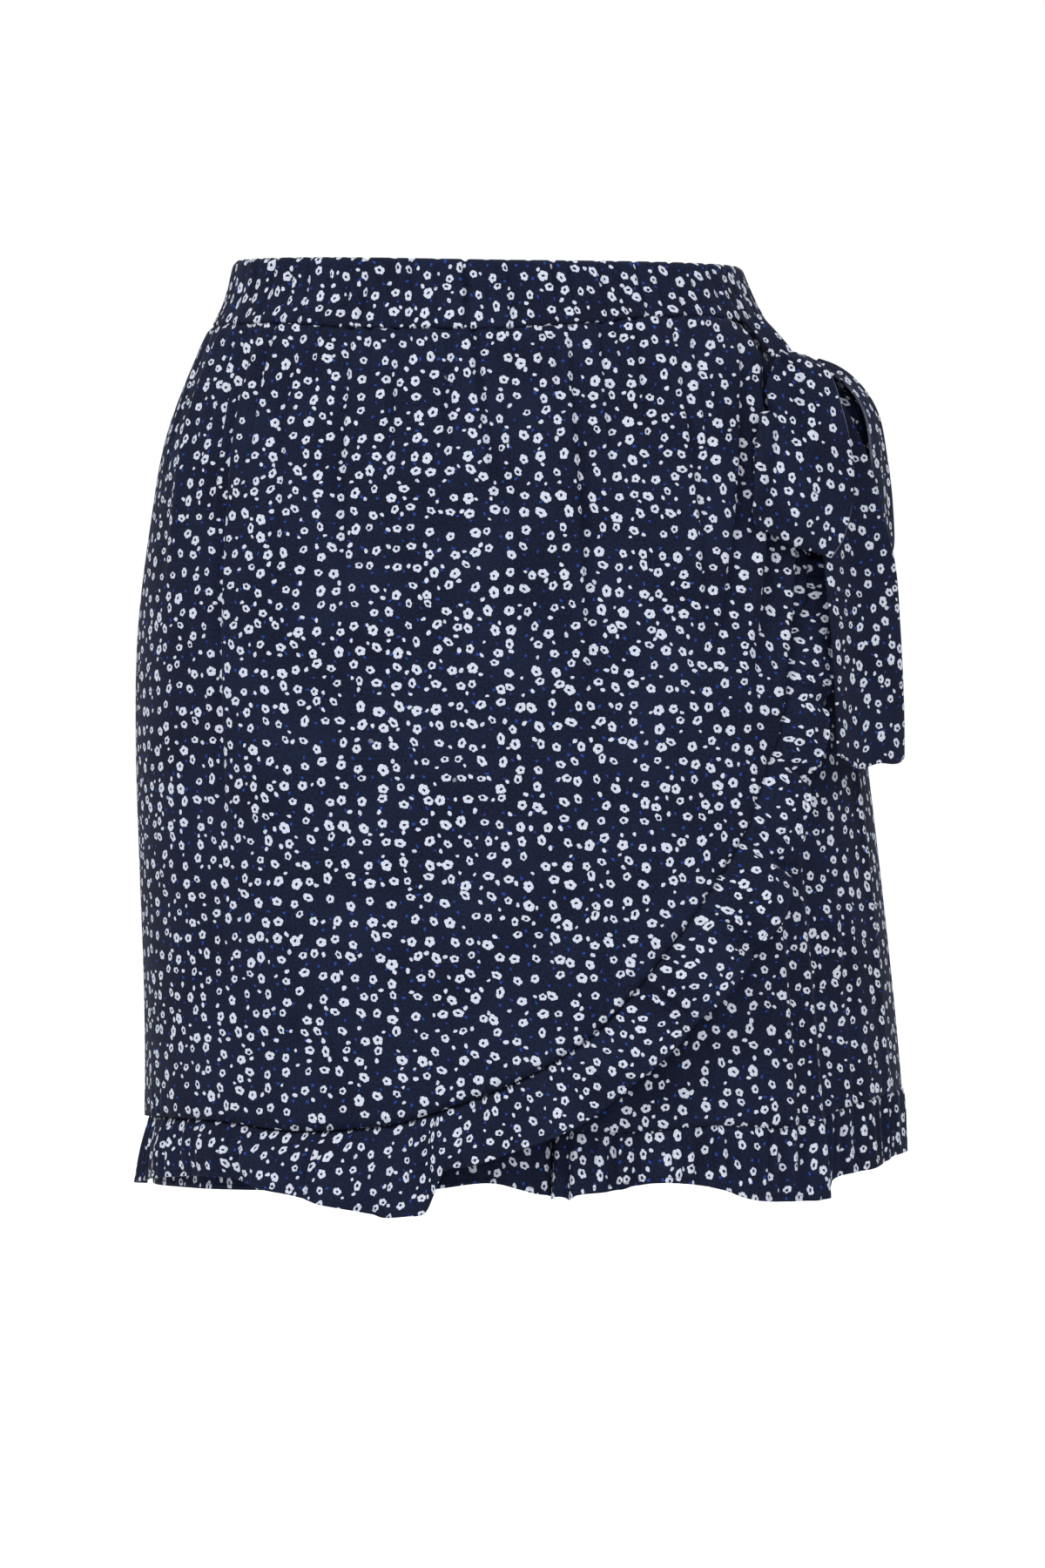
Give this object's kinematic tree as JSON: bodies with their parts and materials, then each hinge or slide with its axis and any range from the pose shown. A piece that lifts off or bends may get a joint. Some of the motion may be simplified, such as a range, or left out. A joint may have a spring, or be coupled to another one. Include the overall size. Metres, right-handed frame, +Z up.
{
  "type": "skort",
  "caption": "Skort in its worn form: wide shorts under a wrap panel with a curved ruffled edge, elasticated waist, ruffled hems and a tie bow at the left hip.",
  "frame": {"origin": "centre of the waist, level with the middle of the waistband's height at the centre front", "axes": "+Z up, +X toward the wearer's left, front toward -Y"},
  "size_m": [0.3546, 0.2538, 0.4343],
  "materials": {
    "cloth": "matt woven crepe, dark navy with small off-white flowers and a few blue dots"
  },
  "bodies": {
    "root": {"waistband_front": "cloth", "waistband_back": "cloth", "shorts_front_left": "cloth", "shorts_front_right": "cloth", "shorts_back_left": "cloth", "shorts_back_right": "cloth", "leg_ruffle_left": "cloth", "leg_ruffle_right": "cloth", "wrap_panel": "cloth", "wrap_ruffle": "cloth", "tie_strap": "cloth", "tie_knot": "cloth", "tie_loop_front": "cloth", "tie_loop_back": "cloth", "tie_tail_front": "cloth", "tie_tail_back": "cloth"}
  },
  "joints": []
}
